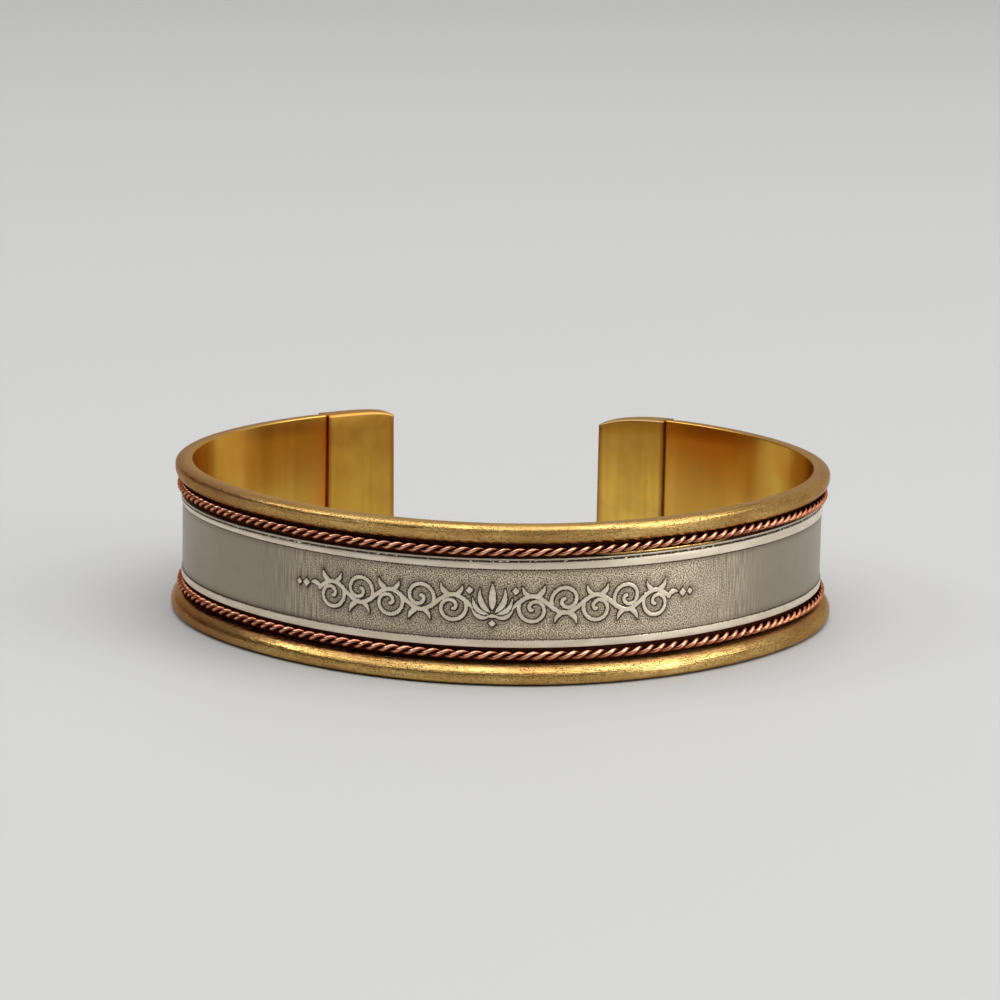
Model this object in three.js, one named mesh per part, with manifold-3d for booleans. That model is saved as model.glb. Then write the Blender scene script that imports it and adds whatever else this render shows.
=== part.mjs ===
// An open cuff bracelet (a kada), standing on its lower rim.
// A brass strip is bent into an open oval and has a half-round brass wire soldered along each edge.
// A nickel silver face plate lies on the strip between two twisted copper wires,
// and a folded brass cap grips all of them at each end of the cuff.
// Millimetres, +Z up, -Y to the front, the opening for the wrist at the back (+Y).
import * as THREE from "three";
import { mergeVertices } from "three/addons/utils/BufferGeometryUtils.js";
import Module from "manifold-3d";

const wasm = await Module();
wasm.setup();

// Plan: an oval through the crest of the upper rim, as bent by hand round a mandrel
const HALF_WIDTH = 33.0;
const HALF_DEPTH = 32.5;
const EGG = 0.23; // swell of the front against the back
const CORNER_PULL = 0.39; // how far the oval is drawn in between its four sides
const END_ANGLE = 68.3; // degrees from +X to the tip of the right-hand cap

// Heights, from the surface that the cuff stands on
const HEIGHT = 15.4;
const LOWER_RIM = 2.0;
const UPPER_RIM = 1.95;
const PLATE_BOTTOM = 3.61;
const PLATE_TOP = 12.14;
const BORDER = { lower: 0.71, upper: 0.88 }; // raised, plain edges of the face plate
const LOWER_WIRE_HEIGHT = 2.82;
const UPPER_WIRE_HEIGHT = 12.88;

// Depths, measured outwards from the crest of the upper rim
const STRIP_INSIDE = -1.76;
const STRIP_FACE = -1.16;
const PLATE_FACE = -0.66;
const FIELD_FACE = -0.76; // etched ground of the plate
const LOWER_CREST = 0.41;
const UPPER_CREST = 0;
const SOFTENED_EDGE = 0.15; // worn inner corners of the strip

// Pieces laid on or round the strip
const CLEARANCE = 0.06;
const WIRE_DIAMETER = 0.88;
const CAP_LENGTH = 8.4; // along the crest of the upper rim
const CAP_SHEET = 0.28;
const CAP_WAIST = -0.14; // inside face of the cap where it spans the wires and the plate

// Smoothness
const BAND_STEPS = 80; // the plate and the wires take the same stations
const WIRE_ARC_SEGMENTS = 4; // eight sides
const CAP_STEPS = 8;
const RIM_ARC_SEGMENTS = 6;
const MERGE_WITHIN = 1e-4;
const CUT_MARGIN = 1; // how far a cutting shape runs past what it cuts

// The oval in plan: an ellipse with a third harmonic for the egg and a fourth for the drawn-in corners.
// It runs clockwise seen from above, so that a section's y axis points outwards and its x axis down.
class PlanCurve extends THREE.Curve {
  constructor(fromDegrees, toDegrees) {
    super();
    this.from = THREE.MathUtils.degToRad(fromDegrees);
    this.to = THREE.MathUtils.degToRad(toDegrees);
  }
  getPoint(share, target = new THREE.Vector3()) {
    const angle = this.from + (this.to - this.from) * share;
    const ellipse =
      (HALF_WIDTH * HALF_DEPTH) /
      Math.hypot(HALF_DEPTH * Math.cos(angle), HALF_WIDTH * Math.sin(angle));
    const radius =
      ellipse + EGG * Math.sin(3 * angle) + CORNER_PULL * Math.cos(4 * angle);
    return target.set(radius * Math.cos(angle), radius * Math.sin(angle), 0);
  }
}

// A length along the cuff near its ends, as an angle of the plan.
function degreesFor(length) {
  return THREE.MathUtils.radToDeg(length / HALF_DEPTH);
}

// A section carried along the plan. Sections are drawn in (minus height, depth).
function sweep(section, fromDegrees, toDegrees, steps, curveSegments) {
  return new THREE.ExtrudeGeometry(section, {
    steps,
    curveSegments,
    extrudePath: new PlanCurve(fromDegrees, toDegrees),
  });
}

// A rectangle of the section plane.
function boxSection(bottom, top, inside, outside) {
  return new THREE.Shape([
    new THREE.Vector2(-bottom, inside),
    new THREE.Vector2(-bottom, outside),
    new THREE.Vector2(-top, outside),
    new THREE.Vector2(-top, inside),
  ]);
}

function solidFrom(geometry) {
  const bare = geometry.clone();
  bare.deleteAttribute("normal");
  bare.deleteAttribute("uv");
  const merged = mergeVertices(bare, MERGE_WITHIN);
  return new wasm.Manifold(
    new wasm.Mesh({
      numProp: 3,
      vertProperties: merged.attributes.position.array,
      triVerts: new Uint32Array(merged.index.array),
    }),
  );
}

function geometryFrom(solid) {
  const mesh = solid.getMesh();
  const geometry = new THREE.BufferGeometry();
  geometry.setAttribute(
    "position",
    new THREE.BufferAttribute(mesh.vertProperties, 3),
  );
  geometry.setIndex(new THREE.BufferAttribute(mesh.triVerts, 1));
  return geometry;
}

// The strip and both rims, one soldered piece. A half-round wire's flat back lies on the strip's face.
function bandSection() {
  const section = new THREE.Shape();
  section.moveTo(-SOFTENED_EDGE, STRIP_INSIDE);
  section.lineTo(0, STRIP_INSIDE + SOFTENED_EDGE);
  section.absellipse(
    -LOWER_RIM / 2,
    STRIP_FACE,
    LOWER_RIM / 2,
    LOWER_CREST - STRIP_FACE,
    0,
    Math.PI,
    false,
  );
  section.absellipse(
    -(HEIGHT - UPPER_RIM / 2),
    STRIP_FACE,
    UPPER_RIM / 2,
    UPPER_CREST - STRIP_FACE,
    0,
    Math.PI,
    false,
  );
  section.lineTo(-HEIGHT, STRIP_INSIDE + SOFTENED_EDGE);
  section.lineTo(-(HEIGHT - SOFTENED_EDGE), STRIP_INSIDE);
  section.closePath();
  return section;
}

// The cap's outline, grown by a distance from the band that it grips and cut flat at top and bottom,
// level with both rims or a margin inside them. It bulges over the rims' faces and runs straight
// across the wires and the plate.
function capSection(grow, waist, margin) {
  const lowerReach = LOWER_CREST - STRIP_FACE + grow;
  const upperReach = UPPER_CREST - STRIP_FACE + grow;
  const lowerHalf = LOWER_RIM / 2;
  const upperHalf = UPPER_RIM / 2;
  const section = new THREE.Shape();
  section.moveTo(-(HEIGHT - margin), STRIP_INSIDE - grow);
  section.lineTo(-margin, STRIP_INSIDE - grow);
  section.absellipse(
    -lowerHalf,
    STRIP_FACE,
    lowerHalf + grow,
    lowerReach,
    Math.acos((lowerHalf - margin) / (lowerHalf + grow)),
    Math.PI - Math.asin((waist - STRIP_FACE) / lowerReach),
    false,
  );
  section.absellipse(
    -(HEIGHT - upperHalf),
    STRIP_FACE,
    upperHalf + grow,
    upperReach,
    Math.asin((waist - STRIP_FACE) / upperReach),
    Math.PI - Math.acos((upperHalf - margin) / (upperHalf + grow)),
    false,
  );
  section.closePath();
  return section;
}

// The face plate: raised borders along both edges and a lower, etched field between them.
function plateSection() {
  const back = STRIP_FACE + CLEARANCE;
  return new THREE.Shape([
    new THREE.Vector2(-PLATE_BOTTOM, back),
    new THREE.Vector2(-PLATE_BOTTOM, PLATE_FACE),
    new THREE.Vector2(-(PLATE_BOTTOM + BORDER.lower), PLATE_FACE),
    new THREE.Vector2(-(PLATE_BOTTOM + BORDER.lower), FIELD_FACE),
    new THREE.Vector2(-(PLATE_TOP - BORDER.upper), FIELD_FACE),
    new THREE.Vector2(-(PLATE_TOP - BORDER.upper), PLATE_FACE),
    new THREE.Vector2(-PLATE_TOP, PLATE_FACE),
    new THREE.Vector2(-PLATE_TOP, back),
  ]);
}

// The outer round of a twisted pair, lying on the strip.
function wireSection(height) {
  const radius = WIRE_DIAMETER / 2;
  const section = new THREE.Shape();
  section.absarc(
    -height,
    STRIP_FACE + CLEARANCE + radius,
    radius,
    0,
    2 * Math.PI,
    false,
  );
  return section;
}

// Angles from +X at the right-hand end, and the same stretch mirrored to the left-hand end
const tip = END_ANGLE;
const lap = END_ANGLE - degreesFor(CAP_LENGTH);
const bandEnd = END_ANGLE - degreesFor(CAP_SHEET + CLEARANCE);
const mirrored = (degrees) => -180 - degrees;

// The band, with both rims filed flat inside each cap, so that cap and rims stand level.
function buildBand() {
  const filed = CAP_SHEET + CLEARANCE;
  const filedFrom = lap - degreesFor(CLEARANCE);
  let band = solidFrom(
    sweep(
      bandSection(),
      bandEnd,
      mirrored(bandEnd),
      BAND_STEPS,
      RIM_ARC_SEGMENTS,
    ),
  );
  for (const [bottom, top] of [
    [-CUT_MARGIN, filed],
    [HEIGHT - filed, HEIGHT + CUT_MARGIN],
  ]) {
    const waste = boxSection(
      bottom,
      top,
      STRIP_INSIDE - CUT_MARGIN,
      LOWER_CREST + CUT_MARGIN,
    );
    band = band
      .subtract(solidFrom(sweep(waste, tip, filedFrom, CAP_STEPS)))
      .subtract(
        solidFrom(sweep(waste, mirrored(filedFrom), mirrored(tip), CAP_STEPS)),
      );
  }
  return geometryFrom(band);
}

// A cap: a closed outer shape less the room for the band, open towards the front of the cuff.
function buildCap(fromDegrees, toDegrees, roomFrom, roomTo) {
  const outside = capSection(
    CLEARANCE + CAP_SHEET,
    CAP_WAIST + CAP_SHEET,
    0,
  );
  const room = capSection(CLEARANCE, CAP_WAIST, CAP_SHEET);
  return geometryFrom(
    solidFrom(
      sweep(outside, fromDegrees, toDegrees, CAP_STEPS, RIM_ARC_SEGMENTS),
    ).subtract(
      solidFrom(sweep(room, roomFrom, roomTo, CAP_STEPS, RIM_ARC_SEGMENTS)),
    ),
  );
}

const brass = () =>
  new THREE.MeshStandardMaterial({
    color: 0xb48c46,
    roughness: 0.3,
    metalness: 1,
  });
const nickelSilver = () =>
  new THREE.MeshStandardMaterial({
    color: 0xa59b89,
    roughness: 0.4,
    metalness: 1,
  });
const copper = () =>
  new THREE.MeshStandardMaterial({
    color: 0xb86b4a,
    roughness: 0.3,
    metalness: 1,
  });

const kada = new THREE.Group();

function add(name, geometry, material) {
  const mesh = new THREE.Mesh(geometry, material);
  mesh.name = name;
  kada.add(mesh);
}

const roomEnd = tip - degreesFor(CAP_SHEET);
const roomStart = lap - degreesFor(CUT_MARGIN);

add("brass_band", buildBand(), brass());
add(
  "face_plate",
  sweep(plateSection(), bandEnd, mirrored(bandEnd), BAND_STEPS),
  nickelSilver(),
);
for (const [name, height] of [
  ["lower_twisted_wire", LOWER_WIRE_HEIGHT],
  ["upper_twisted_wire", UPPER_WIRE_HEIGHT],
]) {
  const tube = sweep(
    wireSection(height),
    bandEnd,
    mirrored(bandEnd),
    BAND_STEPS,
    WIRE_ARC_SEGMENTS,
  );
  add(name, tube, copper());
}
add("right_end_cap", buildCap(tip, lap, roomEnd, roomStart), brass());
add(
  "left_end_cap",
  buildCap(
    mirrored(lap),
    mirrored(tip),
    mirrored(roomStart),
    mirrored(roomEnd),
  ),
  brass(),
);

// The origin is the middle of the footprint, on the surface that the cuff stands on.
const extent = new THREE.Box3().setFromObject(kada);
kada.position.y = -(extent.min.y + extent.max.y) / 2;

export default kada;
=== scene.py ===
import bpy
import numpy as np
from mathutils import Matrix, Vector


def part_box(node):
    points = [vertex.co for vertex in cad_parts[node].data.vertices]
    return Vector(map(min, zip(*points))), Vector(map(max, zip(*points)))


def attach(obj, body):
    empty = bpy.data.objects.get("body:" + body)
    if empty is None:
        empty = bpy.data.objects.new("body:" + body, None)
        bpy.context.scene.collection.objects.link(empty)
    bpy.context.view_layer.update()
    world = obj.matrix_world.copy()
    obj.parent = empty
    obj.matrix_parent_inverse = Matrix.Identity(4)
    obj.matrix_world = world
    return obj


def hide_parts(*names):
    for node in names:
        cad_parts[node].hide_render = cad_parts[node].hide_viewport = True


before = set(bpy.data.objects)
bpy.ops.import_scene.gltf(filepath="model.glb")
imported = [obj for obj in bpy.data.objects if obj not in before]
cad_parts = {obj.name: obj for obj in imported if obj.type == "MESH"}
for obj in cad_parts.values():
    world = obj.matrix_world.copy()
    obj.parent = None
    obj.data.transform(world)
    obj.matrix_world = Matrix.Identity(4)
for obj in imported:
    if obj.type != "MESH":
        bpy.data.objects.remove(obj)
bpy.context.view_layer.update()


# The band. A brass strip is bent into an open round, and a half-round brass wire is soldered along
# each of its edges. The wires stand out as rims and leave a channel between them, whose floor
# carries painted shade. Inside the end caps both rims are filed flat, so that the caps stand level.
MM_IN_A_METRE = 1000
HALF_WIDTH = 33.0
HALF_DEPTH = 32.5
EGG = 0.23
CORNER_PULL = 0.39
CAP_TIP = np.radians(68.3)
HEIGHT = 15.4
LOWER_RIM = 2.13
UPPER_RIM = 1.95
STRIP_INSIDE = -1.76
STRIP_FACE = -1.16
LOWER_CREST = 0.41
UPPER_CREST = 0.0
CLEARANCE = 0.06
CAP_SHEET = 0.28
CAP_LENGTH = 8.4
BAND_INSET = CAP_SHEET + CLEARANCE

# The band's front crest lies on the CAD box's front face, which gives the middle of the plan.
FRONT_REACH = HALF_DEPTH + EGG + CORNER_PULL + LOWER_CREST
PLAN_CENTRE_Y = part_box("brass_band")[0].y * MM_IN_A_METRE + FRONT_REACH


def bent(angle):
    """The crest of the upper rim in plan, and its outward direction, as complex numbers.

    The radius is an ellipse's, plus EGG times sin 3a and CORNER_PULL times cos 4a."""
    across = (HALF_DEPTH * np.cos(angle)) ** 2 + (HALF_WIDTH * np.sin(angle)) ** 2
    ellipse = HALF_WIDTH * HALF_DEPTH / np.sqrt(across)
    slope = -ellipse / across * (HALF_WIDTH**2 - HALF_DEPTH**2) * np.sin(angle) * np.cos(angle)
    radius = ellipse + EGG * np.sin(3 * angle) + CORNER_PULL * np.cos(4 * angle)
    slope = slope + 3 * EGG * np.cos(3 * angle) - 4 * CORNER_PULL * np.sin(4 * angle)
    travel = (slope + 1j * radius) * np.exp(1j * angle)
    return radius * np.exp(1j * angle), -1j * travel / np.abs(travel)


# Lengths along the cuff are measured on the upper crest, from the middle of the front to the right.
BEYOND_TIP = 0.05
TURN_STEPS = 6001
turn = np.linspace(-np.pi - CAP_TIP - BEYOND_TIP, CAP_TIP + BEYOND_TIP, TURN_STEPS)
run = np.concatenate([[0.0], np.cumsum(np.abs(np.diff(bent(turn)[0])))])
run -= np.interp(-np.pi / 2, turn, run)
LEFT_TIP, RIGHT_TIP = np.interp([-np.pi - CAP_TIP, CAP_TIP], turn, run)

# The upper corner of each end is worn down: how far at the tip, and over what length it dies away.
RIGHT_WEAR = 1.3
RIGHT_WEAR_LENGTH = 3.0
LEFT_WEAR = 0.45
LEFT_WEAR_LENGTH = 1.2
WORN_ABOVE = 12.4


def ramp(value, low, high):
    """0 at low, 1 at high and straight between; low may be the larger of the two."""
    return np.clip((value - low) / (high - low), 0, 1)


def on_cuff(along, depth, height):
    """Points at a length along the cuff, a depth out from the upper crest and a height, in mm.

    The wear of the upper corners falls off exponentially from each tip."""
    place, outward = bent(np.interp(along, run, turn))
    place = place + depth * outward
    worn = RIGHT_WEAR * np.exp((along - RIGHT_TIP) / RIGHT_WEAR_LENGTH)
    worn = worn + LEFT_WEAR * np.exp((LEFT_TIP - along) / LEFT_WEAR_LENGTH)
    level = height - worn * ramp(height, WORN_ABOVE, HEIGHT)
    return np.stack([place.real, place.imag + PLAN_CENTRE_Y, level], axis=-1)


def smooth(share):
    """A share of 0 to 1 eased at both ends: three times its square less twice its cube."""
    return share * share * (3 - 2 * share)


def ripple(along, period, seed):
    """Smooth unevenness of -1 to 1: random heights one period apart, with a smooth step between."""
    knots = np.arange(LEFT_TIP - period, RIGHT_TIP + 2 * period, period)
    heights = np.random.default_rng(seed).uniform(-1, 1, len(knots))
    place = np.clip((along - knots[0]) / period, 0, len(knots) - 1.001)
    below = place.astype(int)
    share = smooth(place - below)
    return heights[below] * (1 - share) + heights[below + 1] * share


SHARPER_THAN = np.radians(60)


def piece(name, grids, finish, node):
    """One mesh of one or more grids of points, each of shape (along, across, xyz).

    A grid closes on itself across and is closed by a face at each end. Its UV map is (mm along the
    cuff, mm round the section), and each of its measures becomes an attribute of the same name."""
    points, faces, uvs = [], [], []
    measures = {}
    start = 0
    for grid in grids:
        rows, columns = grid["points"].shape[:2]
        index = start + np.arange(rows * columns).reshape(rows, columns)
        following = np.roll(index, -1, axis=1)
        quads = np.stack([index[:-1], index[1:], following[1:], following[:-1]], axis=-1)
        faces += quads.reshape(-1, 4).tolist()
        faces.append(index[0].tolist())
        faces.append(index[-1][::-1].tolist())
        points.append(grid["points"].reshape(-1, 3))
        steps = np.linalg.norm(np.diff(grid["points"], axis=1), axis=2).mean(axis=0)
        girth = np.concatenate([[0.0], np.cumsum(steps)])
        along, girth = np.broadcast_arrays(grid["along"][:, None], girth)
        uvs.append(np.stack([along, girth], axis=-1).reshape(-1, 2))
        for key, value in grid["measures"].items():
            measures.setdefault(key, []).append(np.broadcast_to(value, (rows, columns)).ravel())
        start += rows * columns
    mesh = bpy.data.meshes.new(name)
    mesh.from_pydata(np.concatenate(points) / MM_IN_A_METRE, [], faces)
    corner = np.empty(len(mesh.loops), int)
    mesh.loops.foreach_get("vertex_index", corner)
    uv = mesh.uv_layers.new(name="along_and_round")
    uv.data.foreach_set("uv", np.concatenate(uvs)[corner].astype(np.float32).ravel())
    for key, value in measures.items():
        attribute = mesh.attributes.new(key, "FLOAT", "POINT")
        attribute.data.foreach_set("value", np.concatenate(value).astype(np.float32))
    mesh.polygons.foreach_set("use_smooth", np.ones(len(mesh.polygons), bool))
    mesh.set_sharp_from_angle(angle=SHARPER_THAN)
    mesh.materials.append(finish.owner)
    made = bpy.data.objects.new(name, mesh)
    bpy.context.scene.collection.objects.link(made)
    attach(made, "root")
    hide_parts(node)


class Value:
    """A number or colour that a finish works out at each point of a surface."""

    def __init__(self, finish, socket):
        self.finish = finish
        self.socket = socket

    def math(self, operation, *others):
        return self.finish.node("Math", {"operation": operation}, dict(enumerate((self, *others))))

    def __add__(self, other):
        return self.math("ADD", other)

    def __radd__(self, other):
        return self.math("ADD", other)

    def __mul__(self, other):
        return self.math("MULTIPLY", other)

    def __rmul__(self, other):
        return self.math("MULTIPLY", other)

    def __sub__(self, other):
        return self.math("SUBTRACT", other)

    def __rsub__(self, other):
        return self.finish.node("Math", {"operation": "SUBTRACT"}, {0: other, 1: self})

    def rise(self, low, high):
        """0 at low, 1 at high, and a smooth curve between; low may be the larger of the two."""
        settings = {"interpolation_type": "SMOOTHSTEP"}
        inputs = {"Value": self, "From Min": low, "From Max": high}
        return self.finish.node("MapRange", settings, inputs)


class Finish:
    """The shader of a material or of the world, built node by node."""

    def __init__(self, owner):
        self.owner = owner
        owner.use_nodes = True
        self.tree = owner.node_tree
        self.tree.nodes.clear()

    def node(self, kind, settings, inputs, output=0):
        """Any node: its type, its settings, then the values or links of its sockets."""
        made = self.tree.nodes.new("ShaderNode" + kind)
        for key, setting in settings.items():
            setattr(made, key, setting)
        for key, given in inputs.items():
            if isinstance(given, Value):
                self.tree.links.new(given.socket, made.inputs[key])
            else:
                made.inputs[key].default_value = given
        return Value(self, made.outputs[output] if len(made.outputs) else None)

    def measure(self, name):
        """What the mesh's attribute of that name holds."""
        return self.node("Attribute", {"attribute_name": name}, {}, "Fac")

    def grain(self, along, across, detail=2.0, shift=0.0):
        """Noise of 0 to 1 whose blotches are about along by across millimetres."""
        place = self.node("UVMap", {"uv_map": "along_and_round"}, {})
        size = (1 / along, 1 / across, 1)
        inputs = {"Vector": place, "Location": (shift, shift, 0), "Scale": size}
        spread = self.node("Mapping", {}, inputs)
        inputs = {"Vector": spread, "Scale": 1.0, "Detail": detail}
        return self.node("TexNoise", {"noise_dimensions": "2D"}, inputs)

    def blend(self, share, low, high):
        """The first colour where share is 0, the second where it is 1."""
        low, high = (c if isinstance(c, Value) else (*c, 1) for c in (low, high))
        return self.node("Mix", {"data_type": "RGBA"}, {0: share, 6: low, 7: high}, 2)

    def over(self, colour, *coats):
        """A colour with coats laid over it in turn, each given as its share and its own colour."""
        for share, coat in coats:
            colour = self.blend(share, colour, coat)
        return colour

    def metal(self, colour, roughness, relief, depth, edge_tint):
        """The metal itself, with a relief of 0 to 1 that is depth millimetres deep.

        Seen edge on it takes on edge_tint, where a plain metal would turn white."""
        bump = self.node("Bump", {}, {"Height": relief, "Distance": depth / MM_IN_A_METRE})
        inputs = {"Base Color": colour, "Metallic": 1.0, "Roughness": roughness, "Normal": bump}
        inputs["Specular Tint"] = (*edge_tint, 1)
        shader = self.node("BsdfPrincipled", {}, inputs)
        self.node("OutputMaterial", {}, {"Surface": shader})


# The rims were drawn as half rounds. Wear has left each of them squarer and fuller towards its
# outer edge. The channel's floor is flat but for a line of bright solder above the plate's place.
CREST_SHIFT = 0.2
PLAIN_ELLIPSE = 2
LOWER_SQUARER = 1.4
UPPER_SQUARER = 1.2
UPPER_SWELL = 0.7
RIM_POINTS = 37
STRIP_CORNER = 0.15
FILLET = 0.05
FLOOR_HEIGHTS = [2.35, 3.4, 11.9]
SOLDER_HEIGHTS = [12.34, 12.38, 12.46, 12.55, 12.64, 13.2]
SOLDER_SHARES = [0, 0.97, 1, 0.95, 0, 0]
SOLDER_REACH = 0.62


def half_round(reach, height, crest, below, above):
    """A rim's face, as depths and heights: a quarter of a superellipse on each side of its crest.

    An exponent of 2, below or above the crest, is a plain ellipse; a larger one is squarer."""
    half_turn = np.radians(np.linspace(-90, 90, RIM_POINTS))
    power = 2 / np.where(half_turn < 0, below, above)
    out = np.cos(half_turn) ** power
    up = np.sign(half_turn) * np.abs(np.sin(half_turn)) ** power
    return STRIP_FACE + reach * out, crest + np.where(half_turn < 0, crest, height - crest) * up


def band_sections(swell, worn, solder):
    """The soldered section at each station, as depths and heights, up the outside, down the inside.

    A rim is a plain half round where worn is 0. The solder stands out of the floor by solder."""
    lower_reach = LOWER_CREST + swell - STRIP_FACE
    lower_crest = LOWER_RIM / 2 - CREST_SHIFT * worn
    squarer = PLAIN_ELLIPSE + LOWER_SQUARER * worn
    lower_rim = half_round(lower_reach, LOWER_RIM, lower_crest, squarer, PLAIN_ELLIPSE)
    upper_reach = UPPER_CREST + UPPER_SWELL * swell - STRIP_FACE
    upper_crest = UPPER_RIM / 2 + CREST_SHIFT * worn
    squarer = PLAIN_ELLIPSE + UPPER_SQUARER * worn
    upper_rim = half_round(upper_reach, UPPER_RIM, upper_crest, PLAIN_ELLIPSE, squarer)
    quarter = np.radians(np.linspace(0, 90, 5))
    far_turn = STRIP_CORNER * (1 - np.sin(quarter))
    near_turn = STRIP_CORNER * (1 - np.cos(quarter))
    sides = [
        lower_rim,
        ([STRIP_FACE + FILLET], [LOWER_RIM + FILLET]),
        (np.full(3, STRIP_FACE), FLOOR_HEIGHTS),
        (STRIP_FACE + solder * SOLDER_SHARES, SOLDER_HEIGHTS),
        ([STRIP_FACE + FILLET], [HEIGHT - UPPER_RIM - FILLET]),
        (upper_rim[0], HEIGHT - UPPER_RIM + upper_rim[1]),
        (STRIP_INSIDE + far_turn, HEIGHT - near_turn),
        (np.full(5, STRIP_INSIDE), np.linspace(HEIGHT - 2, 2, 5)),
        (STRIP_INSIDE + near_turn, far_turn),
    ]
    spread = [[np.broadcast_to(v, (len(swell), np.shape(v)[-1])) for v in side] for side in sides]
    return [np.concatenate(values, axis=1) for values in zip(*spread)]


# Along the band: how far from a cap its rims are fully worn, their long and short unevenness as
# (size, period), and where the solder was scraped bright.
STATIONS = 760
WORN_WITHIN = 1.5
LONG_SWELL = (0.025, 11)
SHORT_SWELL = (0.012, 3.1)
SCRAPED_FROM = (8, 10)
SCRAPED_TO = (25, 22)
SCRAPED_HEIGHTS = (12.37, 12.65)

stations = np.linspace(LEFT_TIP + BAND_INSET, RIGHT_TIP - BAND_INSET, STATIONS)
from_lap = np.minimum(stations - LEFT_TIP, RIGHT_TIP - stations) - CAP_LENGTH
free = ramp(from_lap, 0, WORN_WITHIN)
long_swell = LONG_SWELL[0] * ripple(stations, LONG_SWELL[1], 1)
short_swell = SHORT_SWELL[0] * ripple(stations, SHORT_SWELL[1], 2)
swells = free * (long_swell + short_swell)
scraped = ramp(stations, *SCRAPED_FROM) * ramp(stations, *SCRAPED_TO)
depths, heights = band_sections(swells[:, None], free[:, None], SOLDER_REACH * scraped[:, None])
filed = np.where(from_lap > 0, 0.0, BAND_INSET)[:, None]
heights = np.clip(heights, filed, HEIGHT - filed)

# Where on the band each change of its finish lies, from 0 to 1. Painted shade fills the channel and
# the corners beside the rims, but for the scraped solder. Near the wires the rims carry a painted
# reddish reflection of the copper.
on_upper = heights > HEIGHT / 2
in_channel = (heights > LOWER_RIM / 2) & (heights < HEIGHT - UPPER_RIM / 2)
in_channel &= depths > STRIP_FACE - 0.01
lower_corner = ramp(depths, STRIP_FACE + 0.256, STRIP_FACE + 0.096)
upper_corner = ramp(heights, 13.70, 13.60)
# Painted shade in the channel and in the corners beside the rims; the same mask makes them rougher.
channel_shade = in_channel * np.where(heights < HEIGHT / 2, lower_corner, upper_corner)
on_solder = (heights > SCRAPED_HEIGHTS[0]) & (heights < SCRAPED_HEIGHTS[1])
channel_shade = channel_shade * (1 - 0.95 * scraped[:, None] * on_solder)
inside = ramp(depths, STRIP_INSIDE + 0.12, STRIP_INSIDE + 0.04)
# Painted shade on the top face of the upper rim, where it faces up; the same mask makes it rougher.
top_face_shade = ramp(heights, HEIGHT - 0.15, HEIGHT - 0.07)
top_face_shade = top_face_shade * np.maximum(ramp(depths, STRIP_FACE + 0.5, STRIP_FACE + 0.1), 0.25)
near_wires = np.where(heights < HEIGHT / 2, ramp(heights, 1.5, 1.9), ramp(heights, 13.9, 13.5))
# Painted reddish reflection of the copper wires on the rims beside them, strongest on the left.
wire_reflection = near_wires * np.maximum(ramp(stations, -4, -20), 0.15)[:, None]
dull_above = np.exp(-(((stations - 2.5) / 5.5) ** 2)) + 0.6 * ramp(stations, -14, -18)
dull_below = near_wires * ramp(stations, -14, -8)[:, None]
# Painted dark, warm reflection on the rims towards both ends, stronger on the left.
end_reflection = ramp(np.abs(stations), 25, 35) * np.where(stations < 0, 1.0, 0.5)
# Painted orange glow inside, beside the left cap's lap: light thrown back from the cap.
lap_glow = np.exp(-np.clip(from_lap, 0, None) / 1.1) * (stations < 0)
# Painted dark reflection on the inside of the far right of the round.
far_corner_dark = 0.75 * np.exp(-(((stations - 52.0) / 3.0) ** 2))

BRASS_DEEP = (0.57, 0.35, 0.11)
BRASS_PALE = (0.74, 0.50, 0.175)
BRASS_SPECKLE = (0.36, 0.20, 0.055)
BRASS_STAIN = (0.42, 0.20, 0.07)
BRASS_DRAWN_LINE = (0.34, 0.20, 0.06)
BRASS_DULL = (0.36, 0.20, 0.07)
BRASS_WIRE_REFLECTION = (0.36, 0.12, 0.05)
BRASS_END_REFLECTION = (0.31, 0.155, 0.08)
BRASS_DARK_LINE = (0.30, 0.17, 0.04)
BRASS_PIT = (0.10, 0.05, 0.02)
BRASS_TOP_SHADE = (0.34, 0.22, 0.10)
BRASS_CHANNEL_SHADE = (0.085, 0.024, 0.012)
INSIDE_DEEP = (0.72, 0.44, 0.08)
INSIDE_PALE = (0.77, 0.48, 0.09)
INSIDE_BAND = (0.56, 0.31, 0.055)
INSIDE_STAIN = (0.68, 0.31, 0.04)
INSIDE_LAP_GLOW = (0.66, 0.20, 0.02)
INSIDE_FAR_CORNER_DARK = (0.20, 0.10, 0.04)
BRASS_EDGE_TINT = (0.80, 0.62, 0.45)
BRASS_RELIEF = 0.05
DARK_LINE_HEIGHT = 14.70

brass = Finish(bpy.data.materials.new("aged_brass"))
inner = brass.measure("inside")
channel_shaded = brass.measure("channel_shade")
top_shade = brass.measure("top")
dulled = brass.measure("dull")
blotches = brass.grain(7, 1.6, 3)
speckle = brass.grain(0.5, 0.25, 3, shift=8)
stains = brass.grain(4, 1.3, 3, shift=4).rise(0.52, 0.75)
pits = brass.grain(0.20, 0.14, 1).rise(0.60, 0.70)
pits = pits * brass.grain(3.0, 1.2, 1, shift=9).rise(0.36, 0.56)
drawn_lines = brass.grain(9, 0.11, 2, shift=11).rise(0.5, 0.68)
copper_reflection = brass.measure("wire_reflection") * brass.grain(0.7, 0.4, 2, shift=2).rise(0.3, 0.6)
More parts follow.
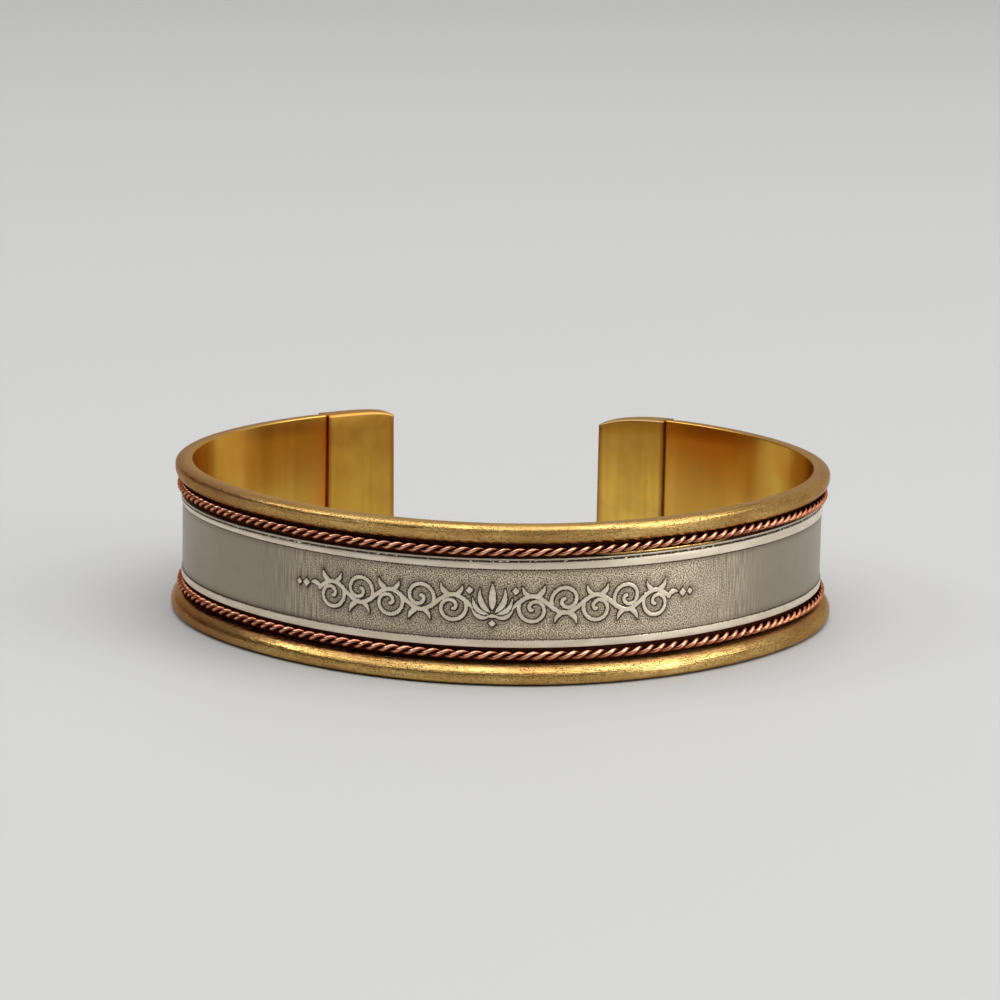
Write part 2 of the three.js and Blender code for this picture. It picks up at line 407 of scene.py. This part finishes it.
# A painted dark line along the upper rim just below its highlight, standing in for a dark
# reflection.
off_line = (brass.measure("up") + 0.1 * brass.grain(6, 0.5, 2) - DARK_LINE_HEIGHT).math("ABSOLUTE")
dark_line = off_line.rise(0.11, 0.04) * brass.grain(5, 0.4, 2, shift=7).rise(0.35, 0.6)
rim_colour = brass.over(
    brass.blend(blotches.rise(0.3, 0.7), BRASS_DEEP, BRASS_PALE),
    (speckle.rise(0.42, 0.75) * 0.7, BRASS_SPECKLE),
    (stains * 0.6, BRASS_STAIN),
    (drawn_lines * 0.4, BRASS_DRAWN_LINE),
    (dulled * 0.5, BRASS_DULL),
    # painted reddish reflection of the copper wires, broken into specks
    (copper_reflection * 0.85, BRASS_WIRE_REFLECTION),
    # painted dark reflection towards the ends
    (brass.measure("far") * 0.75, BRASS_END_REFLECTION),
    # painted dark line below the upper rim's highlight
    (dark_line * 0.6, BRASS_DARK_LINE),
    (pits * 0.8, BRASS_PIT),
    # painted shade on the upper rim's top face
    (top_shade * 0.7, BRASS_TOP_SHADE),
    # painted shade in the channel and its corners
    (channel_shaded, BRASS_CHANNEL_SHADE),
)
streaks = brass.grain(1.6, 60, 2, shift=3)
inner_stains = brass.grain(9, 12, 2, shift=5)
broad = brass.grain(5, 60, 1, shift=9)
inner_colour = brass.over(
    brass.blend(streaks.rise(0.3, 0.7), INSIDE_DEEP, INSIDE_PALE),
    (broad.rise(0.45, 0.6) * 0.5, INSIDE_BAND),
    (inner_stains.rise(0.45, 0.65) * 0.7, INSIDE_STAIN),
    # painted orange glow by the left lap
    (brass.measure("lap_glow"), INSIDE_LAP_GLOW),
    # painted dark reflection in the far right corner
    (brass.measure("far_corner_dark"), INSIDE_FAR_CORNER_DARK),
)
dents = brass.grain(3.6, 0.6, 2, shift=6)
scratches = brass.grain(6.0, 0.07, 2, shift=1)
rim_relief = 0.8 * dents + 0.3 * scratches + 0.3 * speckle - 0.6 * pits
rim_roughness = 0.09 + 0.14 * brass.grain(1.3, 0.5, 3) + 0.2 * top_shade + 0.17 * dulled
brass.metal(
    brass.blend(inner, rim_colour, inner_colour),
    (1 - inner) * rim_roughness + 0.22 * inner + 0.3 * channel_shaded,
    (1 - inner) * rim_relief + inner * 0.12 * streaks,
    BRASS_RELIEF,
    BRASS_EDGE_TINT,
)
band = {
    "points": on_cuff(stations[:, None], depths, heights),
    "along": stations,
    "measures": {
        "channel_shade": channel_shade,
        "inside": inside,
        "top": top_face_shade,
        "lap_glow": lap_glow[:, None],
        "far_corner_dark": far_corner_dark[:, None],
        "wire_reflection": wire_reflection,
        "dull": np.where(on_upper, dull_above[:, None], dull_below),
        "far": end_reflection[:, None],
        "up": heights,
    },
}
piece("band", [band], brass, "brass_band")


# The face plate. A nickel silver plate is etched before bending: its borders and its raised
# ornament keep the polished surface, and the ground between them is eaten lower, grainy and dark.
# A second line was etched along the upper border. The sheet was cut a little wider to the right.
PLATE_BOTTOM = 3.56
PLATE_TOP = 12.17
TOP_SLOPE = 0.0065
PLATE_BACK = STRIP_FACE + CLEARANCE
PLATE_FACE = -0.66
ETCHED = 0.10
LINE_ETCHED = 0.04
LINE_HALF_WIDTH = 0.07
LOWER_BORDER = 4.27
UPPER_BORDER = 11.16
SECOND_LINE = 11.91
ORNAMENT_MIDDLE = -1.9
ORNAMENT_AXIS = 7.75
ORNAMENT_REACH = 21.4
ORNAMENT_HEIGHT = 2.1
# How far the ornament's painted shadow is shifted, down and to the right.
SHADOW_SHIFT = 0.11


def stroke(x, y, width):
    """A drawn line: its points and half its width at each of them."""
    x, y, width = np.broadcast_arrays(*(np.asarray(v, float) for v in (x, y, width)))
    return np.stack([x, y, width / 2], axis=-1)


def leaf(root, tip, width, bow=0.0):
    """A pointed leaf: a line from root to tip, bowed sideways, widest a little below the middle."""
    share = np.linspace(0, 1, 9)
    x = root[0] + (tip[0] - root[0]) * share - (tip[1] - root[1]) * bow * np.sin(np.pi * share)
    y = root[1] + (tip[1] - root[1]) * share + (tip[0] - root[0]) * bow * np.sin(np.pi * share)
    return stroke(x, y, width * np.sin(np.pi * share**0.8) + 0.02)


WAVE = 3.2
WAVES = 5
FIRST_WAVE = 2.3
VINE_END = FIRST_WAVE + WAVE * WAVES
VINE_SWING = 0.82
SCROLL_START = 145
SCROLL_TURN = 430
SCROLL_REACH = 1.36
SCROLL_EYE = 0.20
DIAMONDS = [(19.95, 0.25, 0.42), (20.85, 0.25, 0.32), (0.0, -1.85, 0.34), (2.25, 1.3, 0.36)]


def ornament_strokes():
    """The right half of the ornament: half a lotus, then a vine with a scroll in each wave.

    The vine is a sine wave; each scroll is a spiral whose radius shrinks as it turns."""
    vine = np.linspace(FIRST_WAVE, VINE_END, 90)
    strokes = [
        leaf((0.0, -0.55), (0.0, 2.05), 0.66),
        leaf((0.24, -0.80), (1.22, 1.50), 0.50, -0.16),
        leaf((0.42, -0.98), (1.95, 0.62), 0.42, -0.20),
        leaf((0.36, -1.30), (2.05, -0.42), 0.36, -0.20),
        stroke([0.0, 0.55], [-1.15, -1.15], [0.34, 0.10]),
        stroke(vine, VINE_SWING * np.sin(np.pi * (vine - FIRST_WAVE) / WAVE), 0.38),
        stroke([FIRST_WAVE - 0.38, FIRST_WAVE], [-0.45, 0.0], [0.08, 0.38]),
        leaf((VINE_END - 0.1, 0.05), (VINE_END + 1.1, 0.35), 0.46, 0.2),
    ]
    for count in range(WAVES):
        side = 1 - 2 * (count % 2)
        crest = FIRST_WAVE + WAVE * (count + 0.5)
        share = np.linspace(0, 1, 40)
        angle = np.radians(SCROLL_START + SCROLL_TURN * share)
        radius = SCROLL_REACH * (1 - share) ** 0.75 + SCROLL_EYE
        x = crest + 0.12 + radius * np.cos(angle)
        y = -0.42 + radius * np.sin(angle) * 0.95
        ahead = leaf((crest + 0.2, side * 0.8), (crest + 1.2, side * 1.85), 0.46, side * -0.18)
        behind = leaf((crest - 0.1, side * 0.8), (crest - 1.0, side * 1.75), 0.38, side * 0.18)
        strokes += [stroke(x, side * y, 0.34 - 0.04 * share), ahead, behind]
    return strokes


FAR_OUTSIDE = 9.0
NEAR_A_STROKE = 0.9


def distance_outside(x, y, strokes, diamonds):
    """How far each point lies outside the nearest stroke or diamond; negative inside one.

    A stroke is a chain of straight lines whose half width changes evenly from point to point."""
    nearest = np.full(x.shape, FAR_OUTSIDE)
    for line in strokes:
        reach = line[:, 2].max() + NEAR_A_STROKE
        near = (x > line[:, 0].min() - reach) & (x < line[:, 0].max() + reach)
        px, py = x[near], y[near]
        best = np.full(px.shape, FAR_OUTSIDE)
        for (ax, ay, aw), (bx, by, bw) in zip(line[:-1], line[1:]):
            dx, dy = bx - ax, by - ay
            share = np.clip(((px - ax) * dx + (py - ay) * dy) / (dx * dx + dy * dy), 0, 1)
            gap = np.hypot(px - ax - share * dx, py - ay - share * dy) - aw - share * (bw - aw)
            best = np.minimum(best, gap)
        nearest[near] = np.minimum(nearest[near], best)
    for cx, cy, half in diamonds:
        gap = (np.abs(x - cx) + np.abs(y - cy) - half) / np.sqrt(2)
        nearest = np.minimum(nearest, gap)
    return nearest


def spaced(*stops):
    """Values from stop to stop, each stretch cut into steps of about its own length.

    The stops are (value, step of the stretch that follows) and end with a plain value."""
    values = [np.array([stops[0][0]])]
    ends = [*(s[0] for s in stops[1:-1]), stops[-1]]
    for (low, step), high in zip(stops[:-1], ends):
        count = max(1, int(round((high - low) / step)))
        values.append(np.linspace(low, high, count + 1)[1:])
    return np.concatenate(values)


# The grid of the plate's face is fine under the ornament and at the etched edges, coarse elsewhere.
COARSE_ALONG = 0.5
COARSE_UP = 0.30
FINE = 0.07
FINE_EDGE = 0.05
EDGE_ROUND = 0.06
columns = spaced(
    (LEFT_TIP + BAND_INSET, COARSE_ALONG),
    (ORNAMENT_MIDDLE - ORNAMENT_REACH, FINE),
    (ORNAMENT_MIDDLE + ORNAMENT_REACH, COARSE_ALONG),
    RIGHT_TIP - BAND_INSET,
)
rows = spaced(
    (PLATE_BOTTOM + EDGE_ROUND, COARSE_UP),
    (LOWER_BORDER - 0.05, FINE_EDGE),
    (LOWER_BORDER + 0.10, COARSE_UP),
    (ORNAMENT_AXIS - ORNAMENT_HEIGHT, FINE),
    (ORNAMENT_AXIS + ORNAMENT_HEIGHT, COARSE_UP),
    (UPPER_BORDER - 0.10, FINE_EDGE),
    (UPPER_BORDER + 0.05, 0.25),
    (SECOND_LINE - 0.08, 0.04),
    (SECOND_LINE + 0.08, 0.06),
    PLATE_TOP - EDGE_ROUND,
)
across, upward = np.meshgrid(columns - ORNAMENT_MIDDLE, rows, indexing="ij")
ornament = (ornament_strokes(), DIAMONDS)
outside = distance_outside(np.abs(across), upward - ORNAMENT_AXIS, *ornament)
# The same distance with the ornament shifted down and to the right, for a painted shadow on the
# lower right of each stroke.
shadow_outside = distance_outside(np.abs(across - SHADOW_SHIFT), upward - ORNAMENT_AXIS + SHADOW_SHIFT, *ornament)
outside = np.minimum(outside, np.minimum(upward - LOWER_BORDER, UPPER_BORDER - upward))
raised = smooth(ramp(outside, 0.08, -0.01))
second_line = ramp(np.abs(upward - SECOND_LINE), LINE_HALF_WIDTH, 0)
face = PLATE_FACE - ETCHED * (1 - raised) - LINE_ETCHED * second_line

# The sheet is closed over its top edge, down its back and round its bottom edge.
edge_depths = PLATE_FACE - np.array([0.015, EDGE_ROUND])
closing_depths = np.concatenate([edge_depths, [PLATE_BACK, PLATE_BACK], edge_depths[::-1]])
closing_heights = np.repeat([PLATE_TOP, PLATE_BOTTOM], 3) + np.array([-0.02, 0, 0, 0, 0, 0.02])
closing = np.ones((len(columns), 1))
plate_heights = np.concatenate([upward, closing * closing_heights], axis=1)
plate_depths = np.concatenate([face, closing * closing_depths], axis=1)
sloped_heights = plate_heights + TOP_SLOPE * columns[:, None] * ramp(
    plate_heights, UPPER_BORDER, SECOND_LINE
)
plate_outside = np.concatenate([outside, closing * np.full(6, -0.5)], axis=1)
plate_shadow_outside = np.concatenate([shadow_outside, closing * np.full(6, FAR_OUTSIDE)], axis=1)

SAND_DARK = (0.15, 0.118, 0.08)
SAND_LIGHT = (0.90, 0.775, 0.585)
BRUSHED_DARK = (0.352, 0.296, 0.222)
BRUSHED_LIGHT = (0.372, 0.314, 0.238)
GROUND_CLOUD = (0.26, 0.22, 0.16)
GROUND_HALO = (0.17, 0.12, 0.075)
OUTLINE_PATINA_AND_SHADOW = (0.03, 0.02, 0.012)
POLISHED_WORN = (0.75, 0.645, 0.50)
POLISHED = (0.87, 0.77, 0.62)
ABOVE_SECOND_LINE_DARKER = (0.36, 0.32, 0.23)
LINE_GRIME = (0.04, 0.028, 0.016)
PLATE_ROUGHNESS = 0.38
PLATE_RELIEF = 0.05
PLATE_EDGE_TINT = (1.0, 1.0, 1.0)
JAG = 0.14

silver = Finish(bpy.data.materials.new("etched_nickel_silver"))
edge = silver.measure("outside")
up = silver.measure("up")
length = silver.measure("along")
jagged = edge + JAG * silver.grain(0.16, 0.16, 1) - JAG / 2
ground = jagged.rise(-0.02, 0.03)
# Patina darkens the ground evenly round each stroke; the shifted distance adds a painted shadow on
# each stroke's lower right.
offset_shadow = silver.measure("shadow_outside") + JAG * silver.grain(0.16, 0.16, 1) - JAG / 2
outline = ground * jagged.rise(0.20, 0.07).math("MAXIMUM", offset_shadow.rise(0.12, 0.0))
halo = ground * edge.rise(0.8, 0.1)
middle = length.rise(-30, -13) * length.rise(31, 18)
sand = silver.grain(0.135, 0.12, 2)
brushed = silver.grain(0.13, 3.0, 2, shift=2)
coarse = sand * middle + brushed * (1 - middle)
contrast = coarse.rise(0.38, 0.62)
clouds = silver.grain(6, 5, 2, shift=4)
ground_colour = silver.over(
    silver.blend(contrast, BRUSHED_DARK, BRUSHED_LIGHT),
    (middle, silver.blend(contrast, SAND_DARK, SAND_LIGHT)),
    (clouds.rise(0.35, 0.7) * 0.25, GROUND_CLOUD),
    (halo * 0.5, GROUND_HALO),
    (outline * 0.9, OUTLINE_PATINA_AND_SHADOW),
)
wear = silver.grain(3.0, 0.7, 3, shift=6)
line_break = silver.grain(0.35, 0.2, 1, shift=7)
off_line = (up + 0.07 * line_break - SECOND_LINE - 0.035).math("ABSOLUTE")
second = off_line.rise(0.14, LINE_HALF_WIDTH) * line_break.rise(0.26, 0.36)
bright_colour = silver.over(
    silver.blend(wear.rise(0.3, 0.75), POLISHED_WORN, POLISHED),
    # Darker above the second line, up to the plate's top edge.
    (up.rise(SECOND_LINE, SECOND_LINE + 0.15) * 0.6, ABOVE_SECOND_LINE_DARKER),
    (second, LINE_GRIME),
)
polish_lines = silver.grain(2.0, 0.06, 1, shift=8)
silver.metal(
    silver.blend(ground, bright_colour, ground_colour),
    PLATE_ROUGHNESS + ground * middle * 0.12,
    ground * (0.06 + 0.94 * middle) * coarse + (1 - ground) * 0.08 * polish_lines,
    PLATE_RELIEF,
    PLATE_EDGE_TINT,
)
plate = {
    "points": on_cuff(columns[:, None], plate_depths, sloped_heights),
    "along": columns,
    "measures": {
        "outside": plate_outside,
        "shadow_outside": plate_shadow_outside,
        "up": plate_heights,
        "along": columns[:, None],
    },
}
piece("etched_plate", [plate], silver, "face_plate")


# The twisted wires. Two soft copper strands are twisted together and pressed into the groove
# on each side of the plate. The crests are rubbed bright and carry a painted highlight on their
# upper side, and the hollows are dark with dirt and painted shade.
STRAND = 0.45
PAIR_REACH = 0.45
LOWER_WIRE = 2.82
UPPER_WIRE = 12.84
UPPER_CLIMB = 0.27
HIGHER_FROM = (3, 17)
HIGHER_TO = (50, 30)
LOWER_TWIST = 2.75
UPPER_TWIST = 2.69
TWIST_UNEVENNESS = 0.4
UNEVEN_EVERY = 9
WIRE_DEPTH = STRIP_FACE + CLEARANCE + PAIR_REACH
STRAND_SIDES = 12
STEPS_IN_A_TWIST = 22


def strand_tube(height, climb, twist, seed, start_turn):
    """One strand: a tube whose middle runs round the pair's own axis once in each twist.

    The pair lies a little higher in its groove, by climb, on the right of the front."""
    along = np.arange(LEFT_TIP + BAND_INSET, RIGHT_TIP - BAND_INSET, twist / STEPS_IN_A_TWIST)
    axis_height = height + climb * ramp(along, *HIGHER_FROM) * ramp(along, *HIGHER_TO)
    phase = 2 * np.pi * (along / twist + start_turn)
    phase = phase + TWIST_UNEVENNESS * ripple(along, UNEVEN_EVERY, seed)
    off_axis = PAIR_REACH - STRAND / 2
    depth = WIRE_DEPTH + off_axis * np.cos(phase)
    centre = on_cuff(along, depth, axis_height + off_axis * np.sin(phase))
    travel = np.gradient(centre, axis=0)
    travel /= np.linalg.norm(travel, axis=1, keepdims=True)
    outward = np.cross(travel, [0.0, 0.0, 1.0])
    outward /= np.linalg.norm(outward, axis=1, keepdims=True)
    upright = np.cross(outward, travel)
    around = np.linspace(-np.pi, np.pi, STRAND_SIDES, endpoint=False)[:, None]
    ring = np.cos(around) * outward[:, None, :] + np.sin(around) * upright[:, None, :]
    points = centre[:, None, :] + STRAND / 2 * ring
    # crest is high away from the pair's axis and on the strand's upper front side, where the light
    # comes from.
    crest = 0.5 * np.cos(around[:, 0] - phase[:, None]) + 0.5 * np.cos(around[:, 0] - 0.3)
    return {"points": points, "along": along, "measures": {"crest": crest}}


COPPER_LIGHT = (0.50, 0.19, 0.10)
COPPER_DARK = (0.38, 0.13, 0.065)
COPPER_DIRT_AND_SHADE = (0.10, 0.020, 0.008)
COPPER_RUBBED_AND_HIGHLIGHT = (0.84, 0.45, 0.29)
COPPER_EDGE_TINT = (0.85, 0.50, 0.36)
COPPER_RELIEF = 0.012

copper = Finish(bpy.data.materials.new("twisted_copper"))
crest = copper.measure("crest") + 0.3 * copper.grain(0.5, 0.3, 2) - 0.15
tone = copper.grain(5, 3, 2).rise(0.4, 0.75)
copper_colour = copper.blend(tone, COPPER_LIGHT, COPPER_DARK)
# Dark hollows are dirt and painted shade; bright crests are rubbed copper and a painted highlight.
copper_colour = copper.blend(crest.rise(0.2, 0.65), COPPER_DIRT_AND_SHADE, copper_colour)
copper_colour = copper.blend(crest.rise(0.7, 0.98), copper_colour, COPPER_RUBBED_AND_HIGHLIGHT)
copper_roughness = 0.06 + 0.06 * copper.grain(0.4, 0.2, 2)
copper_grain = copper.grain(0.5, 0.1, 2, shift=2)
copper.metal(copper_colour, copper_roughness, copper_grain, COPPER_RELIEF, COPPER_EDGE_TINT)
for name, height, climb, twist, seed, node in (
    ("lower_twist", LOWER_WIRE, 0.0, LOWER_TWIST, 22, "lower_twisted_wire"),
    ("upper_twist", UPPER_WIRE, UPPER_CLIMB, UPPER_TWIST, 32, "upper_twisted_wire"),
):
    strands = [strand_tube(height, climb, twist, seed, start) for start in (0.0, 0.5)]
    piece(name, strands, copper, node)


# The end caps. A piece of thin brass sheet is folded round each end of the cuff and closed at the
# tip. It follows the rims' faces, is pressed straight across the wires and the plate, and is
# proud by its own thickness where it laps the band. Its tip is filed round.
CAP_WAIST = -0.14
OUTER_FOLD = 0.3
INNER_FOLD = 0.03
TIP_ROUND = 0.28
LEFT_TIP_LONGER = 0.42
LEFT_TIP_LEAN = 0.22


def cap_section(grow, waist, margin, fold):
    """The band's outline grown outwards, straight across the waist, cut flat at top and bottom."""
    lower_reach = LOWER_CREST - STRIP_FACE + grow
    upper_reach = UPPER_CREST - STRIP_FACE + grow
    lower = LOWER_RIM / 2
    upper = UPPER_RIM / 2
    first = -np.arcsin((lower - margin) / (lower + grow))
    last = np.arcsin((upper - margin) / (upper + grow))
    over_lower = np.linspace(first, np.arccos((waist - STRIP_FACE) / lower_reach), 17)
    over_upper = np.linspace(-np.arccos((waist - STRIP_FACE) / upper_reach), last, 17)
    lower_heights = lower + (lower + grow) * np.sin(over_lower)
    upper_heights = HEIGHT - upper + (upper + grow) * np.sin(over_upper)
    quarter = np.radians(np.linspace(0, 90, 6))
    far_turn = fold * (1 - np.sin(quarter))
    near_turn = fold * (1 - np.cos(quarter))
    inner = STRIP_INSIDE - grow
    sides = [
        (STRIP_FACE + lower_reach * np.cos(over_lower), lower_heights),
        (STRIP_FACE + upper_reach * np.cos(over_upper), upper_heights),
        (inner + far_turn, HEIGHT - margin - near_turn),
        (np.full(8, inner), np.linspace(HEIGHT - 2, 2, 8)),
        (inner + near_turn, margin + far_turn),
    ]
    return [np.concatenate(values) for values in zip(*sides)]


def folded_cap():
    """The right cap as a closed bag: outside from tip to lap, then inside from lap to end wall.

    At the tip the outline draws in along a quarter circle. Returns along, depth and height."""
    outer_depth, outer_height = cap_section(BAND_INSET, CAP_WAIST + CAP_SHEET, 0.0, OUTER_FOLD)
    inner_depth, inner_height = cap_section(CLEARANCE, CAP_WAIST, CAP_SHEET, INNER_FOLD)
    lap = RIGHT_TIP - CAP_LENGTH
    middle_depth = (outer_depth.min() + outer_depth.max()) / 2
    rings = []
    for angle in np.radians(np.linspace(0, 90, 8)):
        draw = TIP_ROUND * (1 - np.sin(angle))
        depth = outer_depth + np.clip(middle_depth - outer_depth, -draw, draw)
        height = np.clip(outer_height, draw, HEIGHT - draw)
        rings.append((RIGHT_TIP - TIP_ROUND * (1 - np.cos(angle)), depth, height))
    for along in np.linspace(RIGHT_TIP - TIP_ROUND - 0.3, lap, 26):
        rings.append((along, outer_depth, outer_height))
    for along in np.linspace(lap, RIGHT_TIP - CAP_SHEET, 12):
        rings.append((along, inner_depth, inner_height))
    return [np.array(values) for values in zip(*rings)]


CAP_DEEP = (0.84, 0.56, 0.095)
CAP_PALE = (0.90, 0.65, 0.13)
CAP_UPPER_SHADE = (0.52, 0.33, 0.08)
CAP_PATCH = (0.56, 0.34, 0.09)
CAP_TOP_FOLD_SHADE = (0.36, 0.22, 0.11)
CAP_LAP_SHADOW = (0.26, 0.12, 0.03)
CAP_TIP_SHADE = (0.30, 0.16, 0.06)
CAP_LEFT_RED = (0.46, 0.20, 0.012)
CAP_EDGE_TINT = (0.82, 0.64, 0.42)
CAP_RELIEF = 0.008

sheet = Finish(bpy.data.materials.new("cap_brass"))
ruled = sheet.grain(0.9, 25, 2)
patches = sheet.grain(4, 4, 2, shift=3)
cap_up = sheet.measure("up")
past_lap = sheet.measure("lap")
cap_colour = sheet.over(
    sheet.blend(ruled.rise(0.3, 0.7), CAP_DEEP, CAP_PALE),
    # painted shade over the cap's upper part
    (cap_up.rise(7, 14) * 0.5, CAP_UPPER_SHADE),
    (patches.rise(0.4, 0.75) * 0.4, CAP_PATCH),
    # painted shade on the top fold, where it would catch the overhead light
    (cap_up.rise(15.0, 15.2) * 0.8, CAP_TOP_FOLD_SHADE),
    # painted shadow beside the lap
    (past_lap.rise(0.6, 0.0) * 0.8, CAP_LAP_SHADOW),
    # painted shade along the tip's edge
    (past_lap.rise(CAP_LENGTH - 0.9, CAP_LENGTH - 0.1) * 0.7, CAP_TIP_SHADE),
    (sheet.measure("left") * 0.5, CAP_LEFT_RED),
)
sheet_roughness = 0.26 + 0.14 * sheet.grain(2, 2, 3)
sheet.metal(cap_colour, sheet_roughness, sheet.grain(0.1, 3.0, 2), CAP_RELIEF, CAP_EDGE_TINT)
cap_along, cap_depth, cap_height = folded_cap()
lapped = cap_along - (RIGHT_TIP - CAP_LENGTH)
for name, side, node in (("right_cap", 1, "right_end_cap"), ("left_cap", -1, "left_end_cap")):
    depth = cap_depth[:, ::side]
    height = cap_height[:, ::side]
    longer = np.where(side > 0, 0.0, LEFT_TIP_LONGER - LEFT_TIP_LEAN * height / HEIGHT)
    stretched = cap_along[:, None] + longer * (lapped / CAP_LENGTH)[:, None]
    cap = {
        "points": on_cuff(side * stretched, depth, height),
        "along": side * cap_along,
        "measures": {"lap": lapped[:, None], "up": height, "left": float(side < 0)},
    }
    piece(name, [cap], sheet, node)


# The table: one pale, matt sheet that fills the view.
TABLE_HALF = 3.0
TABLE_GREY = (0.40, 0.40, 0.398, 1)
paper = Finish(bpy.data.materials.new("pale_sheet"))
matt = paper.node("BsdfPrincipled", {}, {"Base Color": TABLE_GREY, "Roughness": 0.6})
paper.node("OutputMaterial", {}, {"Surface": matt})
table_mesh = bpy.data.meshes.new("table")
corners = np.array([(-1, -1, 0), (1, -1, 0), (1, 1, 0), (-1, 1, 0)])
table_mesh.from_pydata(corners * TABLE_HALF, [], [(0, 1, 2, 3)])
table_mesh.materials.append(paper.owner)
table = bpy.data.objects.new("table", table_mesh)
bpy.context.scene.collection.objects.link(table)


# The light: a pale room, dimmer on the camera's side and on the left, two large soft boxes
# overhead, one high at the back, one high on the left and a small one low on the right.
ROOM_WHITE = (1.0, 0.99, 0.97)
ROOM_WARM = (0.75, 0.42, 0.30)
world = bpy.data.worlds.new("room")
bpy.context.scene.world = world
room = Finish(world)
look = room.node("TexCoord", {}, {}, "Generated")
look_x, look_y, look_z = (room.node("SeparateXYZ", {}, {0: look}, axis) for axis in range(3))
glow = 0.20 + 0.38 * look_y.rise(-0.4, 0.6)
glow = glow * (1 - 0.7 * look_x.rise(-0.2, -0.9) * look_z.rise(0.9, 0.3))
warm = look_x.rise(-0.2, -0.7) * look_z.rise(0.5, 0.1) * look_y.rise(-0.3, 0.3)
tint = room.blend(warm, ROOM_WHITE, ROOM_WARM)
background = room.node("Background", {}, {"Color": tint, "Strength": glow})
room.node("OutputWorld", {}, {"Surface": background})


def soft_box(name, place, aim, width, length, radiance):
    """A rectangular area light at a place, aimed at a point; sizes are in metres."""
    light = bpy.data.lights.new(name, "AREA")
    light.shape = "RECTANGLE"
    light.size = width
    light.size_y = length
    light.energy = radiance * np.pi * width * length
    made = bpy.data.objects.new(name, light)
    bpy.context.scene.collection.objects.link(made)
    made.location = place
    made.rotation_euler = (Vector(aim) - Vector(place)).to_track_quat("-Z", "Y").to_euler()


# A light straight overhead is aimed a hair behind its own foot, so that its width lies across.
ON_THE_CUFF = (0.0, 0.0, 0.0)
soft_box("overhead", (0.65, -0.73, 1.6), (0.65, -0.7299, 0.0), 7.1, 3.17, 1.19)
soft_box("core", (1.5, -0.55, 1.59), (1.5, -0.5499, 0.0), 4.2, 1.9, 1.4)
soft_box("back", (0.25, 1.0, 1.3), ON_THE_CUFF, 0.9, 0.6, 1.35)
soft_box("right", (0.78, -0.36, 0.22), ON_THE_CUFF, 0.30, 0.26, 5.0)
soft_box("left", (-0.94, 0.07, 0.78), ON_THE_CUFF, 0.46, 0.14, 4.6)


# The camera, where the photograph was taken from: 40 cm away, a little above, turned and tipped
# slightly off square, through a long lens.
DISTANCE = 400.0
CAMERA_RISE = np.radians(11.39)
CAMERA_TURN = np.radians(1.86)
CAMERA_TIP = np.radians(1.13)
AIM = (-0.27, 0.0, 11.27)
SENSOR = 36.0
FOCAL_LENGTH = 140.88
NEAREST_SEEN = 0.01
FARTHEST_SEEN = 20.0

right = np.array([1, 0, 0])
forward = np.array([0, np.cos(CAMERA_RISE), -np.sin(CAMERA_RISE)])
above = np.array([0, np.sin(CAMERA_RISE), np.cos(CAMERA_RISE)])
picture_right = np.cos(CAMERA_TIP) * right + np.sin(CAMERA_TIP) * above
picture_up = -np.sin(CAMERA_TIP) * right + np.cos(CAMERA_TIP) * above
unturn = Matrix.Rotation(-CAMERA_TURN, 3, "Z")
facing = unturn @ Matrix(np.stack([picture_right, picture_up, -forward], axis=1))
stand = unturn @ Vector(np.array(AIM) - DISTANCE * forward) + Vector((0, PLAN_CENTRE_Y, 0))
camera = bpy.data.objects.new("camera", bpy.data.cameras.new("camera"))
camera.data.sensor_width = SENSOR
camera.data.lens = FOCAL_LENGTH
camera.data.clip_start = NEAREST_SEEN
camera.data.clip_end = FARTHEST_SEEN
camera.matrix_world = Matrix.Translation(stand / MM_IN_A_METRE) @ facing.to_4x4()
bpy.context.scene.collection.objects.link(camera)
bpy.context.scene.camera = camera
bpy.context.scene.view_settings.view_transform = "Standard"
